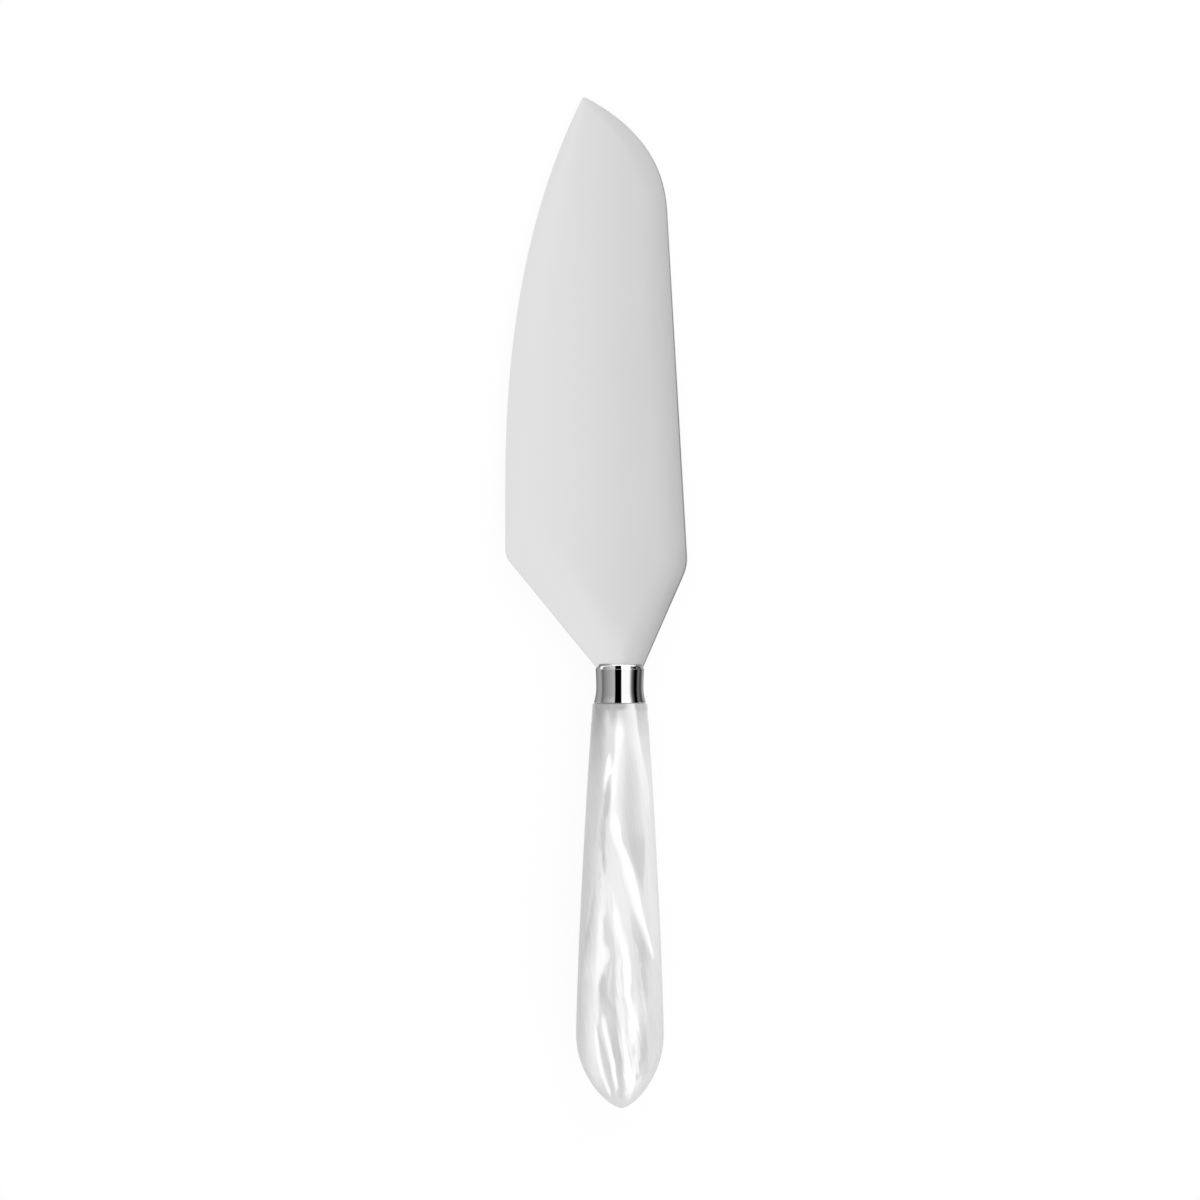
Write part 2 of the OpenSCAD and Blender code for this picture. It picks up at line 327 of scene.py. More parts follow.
def distance_to(points, place):
    """Distance of a place from a polyline."""
    nearest = math.inf
    for a, b in zip(points, points[1:]):
        foot, along_it = intersect_point_line(place, a, b)
        foot = foot if 0 <= along_it <= 1 else (a if along_it < 0 else b)
        nearest = min(nearest, (place - foot).length)
    return nearest


def limited(value, least=0):
    """A value held between a least one and 1."""
    return min(1, max(least, value))


def crown_size(place, tip, settings):
    """Width and drop of the crown: slighter towards the tip and deeper on the neck."""
    below_tip = limited((place - tip).length / settings.tip_fade, TIP_LEAST)
    # The neck's drop fades in over half of the neck's height, about the heel.
    below_heel = (FERRULE_TOP + settings.neck_height - place.y) / settings.neck_height
    on_neck = limited(0.5 + 2 * below_heel)
    drop = settings.crown_drop + (settings.neck_drop - settings.crown_drop) * on_neck
    return (settings.crown_width * below_tip ** TIP_WIDTH_POWER,
            drop * below_tip ** TIP_DROP_POWER)


def half_thickness(place, edge, neck, spine, settings):
    """Half thickness of the plate: flat middle, crown, round rim, and bevel on the cutting edge."""
    to_edge, to_neck, to_spine = (distance_to(points, place) for points in (edge, neck, spine))
    crown_width, crown_drop = crown_size(place, edge[-1], settings)
    rim = BLADE_HALF_THICKNESS - crown_drop
    side_fall = max(0, 1 - min(to_edge, to_spine) / crown_width)
    neck_fall = max(0, 1 - to_neck / settings.neck_crown)
    crown_fall = 1 - (1 - side_fall ** 2) * (1 - neck_fall ** 2)
    height = BLADE_HALF_THICKNESS - crown_drop * crown_fall
    above_heel = limited((place.y - edge[0].y) / settings.heel_fade)
    ground = above_heel * min(1, (place - edge[-1]).length / settings.bevel_fade)
    bevel = settings.bevel_width * ground
    if to_edge < bevel:
        sharpening = (rim - settings.edge_thickness / 2) * ground
        height = min(height, rim - sharpening * (1 - to_edge / bevel))
    rounds = ((min(to_neck, to_spine), settings.rim_round),
              (to_edge, settings.rim_round * (1 - above_heel)))
    for distance, radius in rounds:
        if distance < radius:
            height -= radius - math.sqrt(radius ** 2 - (radius - distance) ** 2)
    return max(height, settings.edge_thickness / 4)


def blade_plate(settings):
    """The plate: a grid spread between its four sides, one face of it mirrored from the other."""
    root_y = FERRULE_TOP - settings.slot_depth
    near_side, far_side = blade_outline(root_y)
    neck, edge = split_at_height(near_side, FERRULE_TOP + settings.heel_height)
    spine, nose = split_at_height(far_side, far_side[-1].y - settings.nose_depth)
    nose.reverse()

    bm = bmesh.new()
    bmesh.ops.create_grid(bm, x_segments=BLADE_COLUMNS, y_segments=BLADE_ROWS, size=0.5)
    # Columns close up towards both edges and rows towards the nose, where the crown is.
    across = sorted({round(v.co.x, 6) for v in bm.verts})
    upward = sorted({round(v.co.y, 6) for v in bm.verts})
    columns = [0.5 - 0.5 * math.cos(math.pi * (x + 0.5)) for x in across]
    rows = [math.sin(math.pi / 2 * (y + 0.5)) for y in upward]
    left, right = along(near_side, rows), along(spine, rows)
    bottom, top = along([neck[0], spine[0]], columns), along(nose, columns)
    for vert in bm.verts:
        i, j = across.index(round(vert.co.x, 6)), upward.index(round(vert.co.y, 6))
        s, t = columns[i], rows[j]
        sides = left[j].lerp(right[j], s)
        ends = bottom[i].lerp(top[i], t)
        corners = neck[0].lerp(spine[0], s).lerp(edge[-1].lerp(spine[-1], s), t)
        place = sides + ends - corners
        vert.co = (*place, AXIS_Z + half_thickness(place, edge, neck, far_side, settings))

    under = bm.verts[:]
    bmesh.ops.extrude_face_region(bm, geom=bm.faces[:], use_keep_orig=True)
    for vert in under:
        vert.co.z = 2 * AXIS_Z - vert.co.z
    bmesh.ops.recalc_face_normals(bm, faces=bm.faces)
    return bm


def add_tang(bm, settings):
    """Joins the tang to the plate: the CAD blade below its root, drawn up into the plate."""
    tang = cad_copy("blade")
    everything = tang.verts[:] + tang.edges[:] + tang.faces[:]
    cut_y = FERRULE_TOP - settings.slot_depth - settings.edge_thickness
    cut = bmesh.ops.bisect_plane(tang, geom=everything, dist=MERGE, clear_outer=True,
                                 plane_co=(0, cut_y, 0), plane_no=(0, 1, 0))["geom_cut"]
    rim = [e for e in cut if isinstance(e, bmesh.types.BMEdge)]
    cap = bmesh.ops.edgeloop_fill(tang, edges=rim)["faces"]
    drawn = bmesh.ops.extrude_face_region(tang, geom=cap)["geom"]
    bmesh.ops.delete(tang, geom=cap, context="FACES_ONLY")
    bmesh.ops.translate(tang, verts=[v for v in drawn if isinstance(v, bmesh.types.BMVert)],
                        vec=(0, 2 * settings.edge_thickness, 0))
    bmesh.ops.recalc_face_normals(tang, faces=tang.faces)
    mesh = bpy.data.meshes.new("tang")
    tang.to_mesh(mesh)
    tang.free()
    bm.from_mesh(mesh)
    bpy.data.meshes.remove(mesh)


def satin_steel(settings):
    """Stainless sheet with a satin finish: fine grain along its length spreads the light softly."""
    material, tree, place = new_material("satin_stainless_steel")
    # Grain lines about 0.25 mm apart and 20 mm long, coarser than the real ones so that they show.
    fine, long = 1 / (0.25 * MM), 1 / (20 * MM)
    drawn = add(tree, "Mapping", {"Vector": place, "Scale": (fine, long, fine)})
    lines = add(tree, "TexNoise", {"Vector": drawn, "Scale": 1, "Detail": 3, "Roughness": 0.6})
    # Broad cloudiness left by the finishing belt, about 30 mm across.
    cloud = add(tree, "TexNoise", {"Vector": place, "Scale": 1 / (30 * MM), "Detail": 2})
    both = calc(tree, "ADD", lines, cloud)
    both_range = [2 * level for level in NOISE_RANGE]
    rough = remap(tree, both, *both_range, settings.roughness - ROUGHNESS_SPREAD,
                  settings.roughness + ROUGHNESS_SPREAD)
    shade = remap(tree, both, *both_range, *FAINT_SHADES)
    bump = add(tree, "Bump", {"Strength": 0.02, "Distance": 0.01 * MM, "Height": lines})
    shader = add(tree, "BsdfPrincipled", {"Base Color": toned(tree, settings.steel, shade),
                                          "Metallic": 1, "Roughness": rough, "Normal": bump})
    return with_surface(material, shader)


class CAKESERVER_OT_blade(bpy.types.Operator):
    """Model the crowned blade with its tang"""
    bl_idname = "cake_server.blade"
    bl_label = "Blade"
    bl_options = {"REGISTER", "UNDO"}

    def execute(self, context):
        settings = context.scene.cake_server_blade
        bm = blade_plate(settings)
        for face in bm.faces:
            face.smooth = True
        add_tang(bm, settings)
        finish_piece(bm, "crowned_blade", "blade", satin_steel(settings))
        return {"FINISHED"}


# Ferrule

TURNED_STEPS = 128
ARC_STEPS = 12
# After the slot and the hole are cut, their rims count as sharp.
CUT_SHARP_ANGLE = math.radians(30)


def arc(centre, radius, start, end):
    """Points of an arc in a profile, as pairs of radius and height, by its angles in degrees."""
    angles = [math.radians(start + (end - start) * i / ARC_STEPS) for i in range(ARC_STEPS + 1)]
    return [(centre[0] + radius * math.cos(a), centre[1] + radius * math.sin(a)) for a in angles]


def waist_curve(waist_radius, waist_y, radius, height):
    """Points of the circle that grazes the waist and passes through another radius and height."""
    rise, flare = height - waist_y, radius - waist_radius
    sweep = (rise ** 2 + flare ** 2) / (2 * flare)
    heights = [waist_y + rise * i / ARC_STEPS for i in range(ARC_STEPS + 1)]
    return [(waist_radius + sweep - math.sqrt(sweep ** 2 - (y - waist_y) ** 2), y) for y in heights]


def turn(profile):
    """Spins a profile of radii and heights about the handle's axis into a closed solid."""
    bm = bmesh.new()
    verts = [bm.verts.new((AXIS_X + radius, height, AXIS_Z)) for radius, height in profile]
    edges = [bm.edges.new(pair) for pair in zip(verts, verts[1:])]
    bmesh.ops.spin(bm, geom=verts + edges, cent=(AXIS_X, 0, AXIS_Z), axis=(0, 1, 0),
                   angle=2 * math.pi, steps=TURNED_STEPS, use_merge=True)
    bmesh.ops.remove_doubles(bm, verts=bm.verts, dist=MERGE)
    bmesh.ops.recalc_face_normals(bm, faces=bm.faces)
    for face in bm.faces:
        face.smooth = True
    return bm


def ferrule_profile(settings):
    """The ferrule from the middle of its blade end, down the outside, and up the bore."""
    end_radius, end_round, slope = settings.end_diameter / 2, settings.end_round, settings.end_slope
    shoulder = end_radius + settings.end_step
    waist = shoulder - settings.waist_depth
    bore = waist - settings.wall
    end_y = FERRULE_TOP - settings.end_height
    fall = settings.end_height - end_round * (1 - math.sin(slope))
    round_x = end_radius - fall * math.tan(slope) - end_round * math.cos(slope)
    waist_y = FERRULE_TOP - settings.waist_at
    lip_y = FERRULE_FOOT + settings.lip
    corner = settings.shoulder_round
    upper = waist_curve(waist, waist_y, shoulder, end_y - corner)
    lower = waist_curve(waist, waist_y, FOOT_RADIUS, lip_y)
    inner_y = FERRULE_TOP - settings.end_wall
    return (
        [(0, FERRULE_TOP)]
        + arc((round_x, FERRULE_TOP - end_round), end_round, 90, math.degrees(slope))
        + [(end_radius, end_y)]
        + arc((shoulder - corner, end_y - corner), corner, 90, 0)[1:-1]
        + upper[::-1]
        + lower[1:]
        + arc((FOOT_RADIUS - settings.lip, lip_y), settings.lip, 0, -90)[1:]
        + [(bore, FERRULE_FOOT), (bore, inner_y), (0, inner_y)]
    )


def cut_away(piece, low, high):
    """Cuts the box between two corners out of a piece."""
    bm = bmesh.new()
    bmesh.ops.create_cube(bm, size=1)
    bmesh.ops.scale(bm, verts=bm.verts, vec=[b - a for a, b in zip(low, high)])
    bmesh.ops.translate(bm, verts=bm.verts, vec=[(a + b) / 2 for a, b in zip(low, high)])
    cutter = new_object(bm, "cutter")
    modifier = piece.modifiers.new("cut", "BOOLEAN")
    modifier.object = cutter
    modifier.operation = "DIFFERENCE"
    modifier.solver = "EXACT"
    done = piece.evaluated_get(bpy.context.evaluated_depsgraph_get())
    spent = (cutter.data, piece.data)
    piece.data = bpy.data.meshes.new_from_object(done)
    piece.modifiers.clear()
    bpy.data.objects.remove(cutter)
    for mesh in spent:
        bpy.data.meshes.remove(mesh)


def polished_steel(settings):
    """Turned steel polished to a mirror: it shows the studio around it, with hardly a mark."""
    material, tree, place = new_material("mirror_polished_steel")
    # Faint cloudiness of handling, about 3 mm across.
    cloud = add(tree, "TexNoise", {"Vector": place, "Scale": 1 / (3 * MM), "Detail": 2})
    colour = toned(tree, settings.steel, remap(tree, cloud, *NOISE_RANGE, *FAINT_SHADES))
    shader = add(tree, "BsdfPrincipled", {"Base Color": colour, "Metallic": 1, "Roughness": 0})
    return with_surface(material, shader)


class CAKESERVER_OT_ferrule(bpy.types.Operator):
    """Turn the polished ferrule and cut its slot and tang hole"""
    bl_idname = "cake_server.ferrule"
    bl_label = "Ferrule"
    bl_options = {"REGISTER", "UNDO"}

    def execute(self, context):
        settings = context.scene.cake_server_ferrule
        blade = context.scene.cake_server_blade
        piece = finish_piece(turn(ferrule_profile(settings)), "turned_ferrule", "ferrule",
                             polished_steel(settings))
        reach, gap = settings.end_diameter, settings.clearance
        # The slot for the blade's root goes right across, the hole for the tang right through.
        slot = (reach, blade.slot_depth, BLADE_HALF_THICKNESS + gap)
        hole = (settings.tang_width / 2 + gap, 2 * settings.end_wall,
                settings.tang_thickness / 2 + gap)
        for half_x, depth, half_z in (slot, hole):
            cut_away(piece, (AXIS_X - half_x, FERRULE_TOP - depth, AXIS_Z - half_z),
                     (AXIS_X + half_x, FERRULE_TOP + reach, AXIS_Z + half_z))
        piece.data.set_sharp_from_angle(angle=CUT_SHARP_ANGLE)
        return {"FINISHED"}


# Handle

BODY_STEPS = 110
BUTT_STEPS = 48
SWELL_POWER = 1.35
BUTT_POWER = 1.9
BUTT_ROOT = 0.68
DRILL_HALF_ANGLE = math.radians(59)


def swell(distance, belly, settings):
    """Half width or half depth of the handle at a distance below the ferrule."""
    belly_at = HANDLE_LENGTH - settings.butt_length
    if distance < belly_at:
        collar = FOOT_RADIUS + settings.collar_step
        return collar + (belly - collar) * (1 - (1 - distance / belly_at) ** SWELL_POWER)
    down_butt = min(1, (distance - belly_at) / settings.butt_length)
    return belly * (1 - down_butt ** BUTT_POWER) ** BUTT_ROOT


def collar_inset(distance, settings):
    """How far the round on the collar's edge draws a section in."""
    inside = settings.collar_round - distance
    if inside <= 0:
        return 0
    return settings.collar_round - math.sqrt(max(0, settings.collar_round ** 2 - inside ** 2))


def handle_profile(settings):
    """The handle from the bottom of its bore, over the spigot and collar, to the butt."""
    belly_at = HANDLE_LENGTH - settings.butt_length
    cone_y = BORE_END + settings.bore_radius / math.tan(DRILL_HALF_ANGLE)
    corner, quarter = settings.collar_round, math.pi / 2
    distances = [corner * (1 - math.cos(quarter * i / ARC_STEPS)) for i in range(ARC_STEPS)]
    distances += [corner + (belly_at - corner) * i / BODY_STEPS for i in range(BODY_STEPS)]
    distances += [belly_at + settings.butt_length * math.sin(quarter * i / BUTT_STEPS)
                  for i in range(BUTT_STEPS + 1)]
    outside = [(swell(d, BELLY_HALF_WIDTH, settings) - collar_inset(d, settings), FERRULE_FOOT - d)
               for d in distances]
    return [
        (0, BORE_END),
        (settings.bore_radius, cone_y),
        (settings.bore_radius, HANDLE_HIGH.y),
        (settings.spigot_radius, HANDLE_HIGH.y),
        (settings.spigot_radius, FERRULE_FOOT),
    ] + outside


def make_oval(bm, settings):
    """Draws the turned handle into its oval, round at the collar and full at the belly."""
    belly_at = HANDLE_LENGTH - settings.butt_length
    for vert in bm.verts:
        distance = FERRULE_FOOT - vert.co.y
        across, up = vert.co.x - AXIS_X, vert.co.z - AXIS_Z
        radius = math.hypot(across, up)
        in_bore = vert.co.y > BORE_END - MERGE and radius < settings.bore_radius + MERGE
        if distance < MERGE or in_bore:
            continue
        fullness = min(1, distance / belly_at)
        drift = settings.butt_shift * (max(0, distance - belly_at) / settings.butt_length) ** 2
        depth = swell(distance, BELLY_HALF_DEPTH, settings) - collar_inset(distance, settings)
        if radius < MERGE:
            vert.co.x += drift
            continue
        waves = []
        for wave in (across / radius, up / radius):
            full = math.copysign(abs(wave) ** (2 / settings.fullness), wave)
            waves.append(wave + (full - wave) * fullness)
        vert.co.x = AXIS_X + drift + radius * waves[0]
        vert.co.z = AXIS_Z + depth * waves[1]


# Streaks of the pearl on the handle's face, and painted shade and a painted shadow on it, each
# painted over those before it: a tone in percent, from 0 for shade to 100 for light; the softness
# of its left and right edges and how far they fray, in millimetres; and its course, as distance
# from the blade end of the ferrule, left and right edge from the axis, all in millimetres, and
# strength in percent.
STREAKS = {
    # Painted shade: the left side of the handle, darker as if the light came from the spine side.
    "left_painted_shade": (46, 2, 1.6, 0.2, (
        (10, -14, -4.2, 100), (24, -14, -4, 100), (34, -14, -4.4, 100), (42, -14, -5.4, 90),
        (52, -14, -6.8, 100), (68, -14, -7.3, 100), (76, -14, -8.4, 100), (92, -14, -9.6, 100),
        (104, -14, -9.4, 90), (114, -14, -5.2, 60))),
    # Painted shade along the spine-side edge of the lower handle.
    "right_edge_painted_shade": (48, 0.6, 2, 0.2, (
        (70, 7.6, 14, 0), (80, 7.6, 14, 40), (90, 7.6, 14, 70), (104, 7.4, 14, 100),
        (112, 5.4, 14, 100))),
    "right_hollow": (42, 1.6, 1.8, 0.2, (
        (22, 1.5, 3.3, 0), (26, 1.5, 3.5, 30), (30, 1.3, 4, 50), (36, 1.2, 4, 70),
        (43, 1.3, 4.2, 95), (46, 1.7, 5.5, 100), (49, 2.6, 6, 100), (52, 3.5, 6, 50),
        (55, 4.5, 6, 0))),
    "hollow_foot": (41, 0.5, 0.35, 0.1, (
        (38, 3.4, 6.3, 0), (44, 3, 6.5, 30), (48, 2.6, 6.5, 85), (52, 3.4, 6.5, 100),
        (54, 4, 6.4, 100), (56, 4.6, 6.3, 85), (58, 5.2, 6.2, 50), (60.5, 5.9, 6.3, 0))),
    # Painted shade: the spine side of the collar below the ferrule, darkest at the ferrule.
    "collar_right_painted_shade": (23, 0.3, 1, 0.1, (
        (10, 3.6, 14, 100), (11.4, 3.8, 14, 100), (12.4, 4.1, 14, 75), (14, 4.3, 14, 65),
        (16, 4.6, 14, 50), (20, 5.4, 14, 25), (24, 6.2, 14, 10), (28, 7, 14, 0))),
    "right_fold": (84, 1.6, 0.3, 0.1, (
        (10, 2.6, 3.5, 80), (12.2, 2.4, 3.9, 90), (16, 2.4, 4.5, 90), (20, 2.8, 5.3, 90),
        (24, 3.8, 6, 85), (28, 4.6, 6.9, 75), (32, 5.4, 7.5, 65), (36, 6, 7.8, 55),
        (40, 6.5, 8, 30), (46, 7, 8.2, 0))),
    "centre_wash": (74, 1.2, 1.2, 0.4, (
        (39, -3.2, -2, 0), (44, -3.4, -1.5, 60), (50, -3.4, 0, 80), (56, -5, 2, 90),
        (62, -4.5, 3, 95), (68, -3, 3.2, 80), (74, -2, 3.4, 70), (82, -1.8, 3.8, 70),
        (92, -0.6, 5.6, 70), (100, 0.4, 5.4, 60), (110, 1.2, 4.6, 0))),
    "lower_hollow": (40, 0.6, 0.7, 0.8, (
        (64, 2.6, 3.6, 0), (68, 3, 5.2, 40), (72, 3.8, 6.4, 75), (75, 4.6, 7.4, 95),
        (79, 4.8, 7.5, 80), (84, 5.2, 7.5, 80), (88, 5.8, 7.6, 50), (92, 6, 7.6, 30),
        (96, 5.6, 7.4, 55), (99.5, 5.4, 7.3, 95), (104, 5.3, 7.4, 100), (107, 4.6, 7, 100),
        (109, 4.4, 6, 70), (111, 4.4, 5.6, 0))),
    "hollow_threads": (85, 0.25, 0.25, 0.6, (
        (78, 4.9, 5.3, 0), (80.5, 5.1, 5.6, 60), (84, 5.4, 5.9, 50), (88, 5.9, 6.4, 70),
        (92, 6.3, 6.9, 60), (95, 6.6, 7, 0))),
    "left_dark": (36, 0.5, 0.5, 0.3, (
        (58, -6.9, -6.5, 0), (64, -7.5, -6.7, 60), (68, -8.4, -7.4, 50), (72, -9, -8, 70),
        (75, -9.4, -8.6, 60), (79, -9.9, -9.3, 0))),
    "side_thread": (62, 0.3, 0.3, 0.2, (
        (36, -5.2, -4.9, 0), (40, -5.6, -5, 60), (44, -6.1, -5.5, 60), (50, -6.9, -6.3, 50),
        (56, -7.1, -6.7, 40), (62, -7.9, -7.4, 70), (68, -8.7, -8.3, 50), (71, -9, -8.7, 0))),
    "left_wing": (72, 0.6, 0.6, 0.3, (
        (75, -7.8, -7.4, 0), (79, -8.7, -7.3, 30), (81.5, -9.2, -7.5, 45), (83.3, -9.6, -7.7, 0))),
    # Painted shade: the edge side of the collar below the ferrule, darkest at the ferrule.
    "collar_left_painted_shade": (6, 2, 1.5, 0.2, (
        (10, -14, -4, 100), (12.2, -14, -4.1, 95), (14, -14, -4.2, 82), (16, -14, -4.2, 68),
        (20, -14, -4.4, 46), (24, -14, -4.6, 32), (28, -14, -5, 15), (33, -14, -5.5, 0))),
    # Painted shade: a dark band across the collar just below the ferrule's foot.
    "collar_band_painted_shade": (16, 1, 1.2, 0.2, (
        (10, -5, 1.6, 20), (10.6, -5, 1.6, 40), (10.95, -5, 1.6, 95), (11.5, -5, 1.4, 90),
        (12.2, -5, 0.7, 40), (14.5, -5, 0.5, 0))),
    # Partly a painted shadow just below the ferrule's foot, partly a dark pearl streak below it.
    "collar_middle_shadow_and_streak": (22, 0.7, 0.7, 0.2, (
        (10, -2.9, -1, 20), (10.8, -2.9, -1, 50), (11.4, -2.9, -1, 95), (12.2, -2.8, -0.9, 85),
        (14, -2.7, -1, 65), (17, -2.6, -1.6, 0))),
    # Painted shadow: a dark line where the handle meets the ferrule's foot.
    "contact_painted_shadow": (0, 1, 1.5, 0, (
        (10, -14, 1.2, 100), (10.2, -14, 1.2, 100), (10.5, -14, 1.2, 0))),
    "left_fold": (84, 1.5, 0.6, 0.3, (
        (48, -5.3, -4.9, 0), (50, -5.4, -4.7, 70), (54, -5.4, -4.3, 75), (60, -5.6, -3.7, 80),
        (64, -5.8, -3.6, 80), (68, -6.1, -4.4, 90), (72, -6.4, -4.4, 95), (76.5, -7, -2.8, 95),
        (79, -7.4, -3.9, 95), (82, -7.5, -5, 95), (86, -7.6, -5.6, 90), (92, -8.3, -5.6, 85),
        (98, -8.6, -6, 80), (104, -8.2, -5, 70), (110, -6.6, -3.6, 40), (114, -4, -2.4, 0))),
    "left_core": (100, 0.7, 0.5, 0.3, (
        (56, -5.2, -4.6, 0), (62, -5.3, -4.4, 30), (68, -5.7, -4.6, 80), (73, -6, -4.5, 85),
        (76.5, -6.1, -3.8, 80), (79.5, -6.5, -4.4, 70), (83, -6.7, -5.7, 60), (88, -6.6, -5.9, 30),
        (92, -6.5, -5.7, 50), (95, -6.4, -5.9, 0))),
    # Painted shade: the whole width of the handle darker towards the butt, where it rounds off.
    "butt_painted_shade": (46, 2, 2, 0.2, (
        (108, -14, 14, 0), (112, -14, 14, 50), (115, -14, 14, 80), (118, -14, 14, 100))),
    "main_glow": (84, 0.4, 1.7, 0.1, (
        (13, -0.8, 0.6, 0), (17, -1, 1.2, 70), (21, -1.2, 1, 85), (26, -1.5, 0.6, 90),
        (30, -1.5, 0.3, 90), (36, -1.5, 0, 80), (40, -1.5, 0.1, 80), (44, -1, 0.4, 0))),
    "main_head": (100, 0.45, 0.9, 0.15, (
        (14, -0.6, 0.4, 0), (16, -0.9, 0.7, 60), (18, -1.2, 1, 95), (20, -1.3, 0.7, 95),
        (23, -1.4, 0, 75), (28, -2.2, -0.7, 95), (32, -2.4, -0.9, 95), (36, -2.6, -1.4, 95),
        (38, -2.5, -1.5, 75), (41, -2.6, -0.9, 50), (45, -2, 0, 0))),
    "main_fold": (100, 0.9, 0.26, 0.15, (
        (37, -2.4, -1.2, 0), (39, -2.5, -1, 60), (42, -2.6, -0.1, 100), (46, -1.7, 0.6, 100),
        (50, -0.2, 2, 100), (56, 1.2, 4, 100), (60, 2.4, 5, 95), (64, 3.7, 5.8, 100),
        (68, 5.3, 6.7, 95), (72, 6.6, 7.7, 95), (75, 7.6, 8.5, 90), (77.8, 8.8, 9.2, 0))),
    "left_hollow": (36, 0.4, 0.4, 0.3, (
        (29.5, -3.1, -2.9, 0), (31, -3.4, -2.8, 60), (33, -3.8, -2.8, 80), (37, -4.3, -2.8, 100),
        (39, -4.5, -3.3, 100), (41, -4.9, -3.8, 80), (47, -5.1, -4, 85), (50, -4.6, -3.7, 70),
        (53, -4.5, -3.5, 60), (55.5, -4.1, -3.6, 0))),
    "hollow_strokes": (34, 0.15, 0.15, 0.35, (
        (48.5, -4.6, -4.4, 0), (50, -4.5, -4.1, 80), (52, -4.3, -3.9, 90), (54, -4.1, -3.7, 70),
        (56.5, -3.8, -3.6, 0))),
    "side_strokes": (50, 0.15, 0.15, 0.35, (
        (54, -5.6, -5.4, 0), (56, -5.5, -5.2, 70), (59, -5.4, -5, 60), (62, -5.2, -4.9, 50),
        (64.5, -5.1, -4.9, 0))),
    "tongue": (100, 0.35, 0.35, 0.3, (
        (22.8, -3, -2.6, 0), (24.2, -3.4, -2.5, 80), (26, -3.7, -2.2, 100), (28, -4, -2, 100),
        (29.2, -4.1, -2.9, 100), (30.5, -4.3, -3.3, 95), (32, -4.4, -3.7, 75),
        (34.5, -4.5, -4.1, 0))),
    "fold_gap": (46, 0.4, 0.4, 0.3, (
        (61, -3.6, -3.2, 0), (66, -4, -3, 35), (69, -4.3, -2.8, 65), (72, -4.1, -2, 60),
        (76, -2.6, -1.5, 80), (79, -3.2, -1.3, 95), (83, -3.8, -1.3, 95), (88, -4, -1.1, 75),
        (92, -2.6, -0.8, 50), (95, -2, -0.6, 0))),
    "gap_thread": (66, 0.25, 0.25, 0.3, (
        (77.5, -2.5, -2.2, 0), (80, -2.7, -2.1, 80), (83, -3, -2.4, 70), (86, -3.2, -2.7, 50),
        (88.5, -3.3, -3, 0))),
    "ragged_fold": (86, 0.6, 0.5, 0.6, (
        (56, -3.4, -2.8, 0), (60, -2.8, -1.5, 70), (64, -2.1, -0.4, 90), (68, -1.8, 0.7, 95),
        (72, -1.1, 1.7, 95), (76, -0.6, 2.6, 90), (80, -0.8, 2.8, 90), (88, -0.6, 3.7, 90),
        (92, 0.1, 4.6, 95), (96, 0.4, 5, 95), (100, 0.5, 4.3, 85), (104, 0.9, 4.9, 95),
        (108, 1.4, 4.2, 100), (111, 1.7, 3.7, 80), (115.3, 2, 2.6, 0))),
    "ragged_core": (100, 0.5, 0.5, 0.6, (
        (62, -1.9, -1.4, 0), (66, -1.6, -0.5, 80), (70, -0.9, 0.5, 95), (74, 0.1, 1.5, 85),
        (78, 1, 2.2, 85), (82, 1.1, 2.4, 90), (86, 1.2, 2.6, 90), (90, 2.2, 3.8, 90),
        (95, 2.6, 4.6, 100), (99, 2.8, 4.2, 85), (103, 3.6, 4.6, 60), (107, 3.4, 4.4, 0))),
    "ragged_foot": (100, 0.5, 0.5, 0.5, (
        (94, 0.6, 1.2, 0), (98, 0.7, 1.7, 60), (102, 0.9, 2.3, 90), (105, 1.4, 3.4, 95),
        (108, 1.7, 4, 100), (110.5, 1.7, 3.7, 80), (113, 1.5, 3, 50), (115, 1.6, 2.6, 0))),
    "ragged_gaps": (60, 0.25, 0.25, 0.5, (
        (75, 0.2, 0.4, 0), (79, 0.4, 0.8, 50), (84, 0.5, 1, 70), (88, 0.8, 1.2, 70),
        (92, 1.3, 2, 70), (95, 1.5, 2.1, 70), (98, 1.3, 1.9, 50), (101, 2, 2.7, 80),
        (104, 2.7, 3.3, 70), (107, 3.2, 3.6, 50), (109.5, 3.4, 3.7, 0))),
    "ragged_line": (62, 0.2, 0.2, 0.4, (
        (76, 2.9, 3.1, 0), (80, 2.9, 3.3, 70), (84, 2.8, 3.4, 90), (88, 3.3, 3.6, 30),
        (90.5, 3.5, 3.7, 0))),
    "ragged_flecks": (58, 0.2, 0.2, 0.6, (
        (99, 3, 3.2, 0), (101.5, 3.3, 3.8, 70), (104, 3.8, 4.2, 70), (106, 4, 4.4, 60),
        (108.5, 3.7, 4, 0))),
    "foot_gap": (58, 0.2, 0.2, 0.2, (
        (107.5, 2.5, 2.7, 0), (110, 2.2, 2.6, 60), (113, 2, 2.3, 70), (115, 1.9, 2.1, 0))),
    "foot_thread": (72, 0.4, 0.4, 0.2, (
        (108, 5.3, 5.9, 0), (109.4, 4.9, 5.6, 70), (111, 4.2, 5, 60), (113.5, 3.3, 3.9, 0))),
    "mid_furrow": (34, 0.45, 0.5, 0.4, (
        (80.5, -4.3, -3.9, 0), (83, -5.1, -3.6, 85), (86, -5.5, -3.6, 85), (88.5, -5.4, -2.6, 60),
        (91, -4.6, -0.9, 50), (95, -3.4, -0.5, 70), (99, -2.6, -0.2, 90), (104, -1.6, 0.5, 100),
        (108, -0.9, 0.9, 95), (112, -0.7, 1, 95), (114.5, -0.2, 0.9, 0))),
    "left_furrow": (36, 0.4, 0.3, 0.15, (
        (94, -6.2, -5.9, 0), (96, -6.2, -5.5, 70), (99, -5.6, -4.6, 70), (102, -5, -3.6, 70),
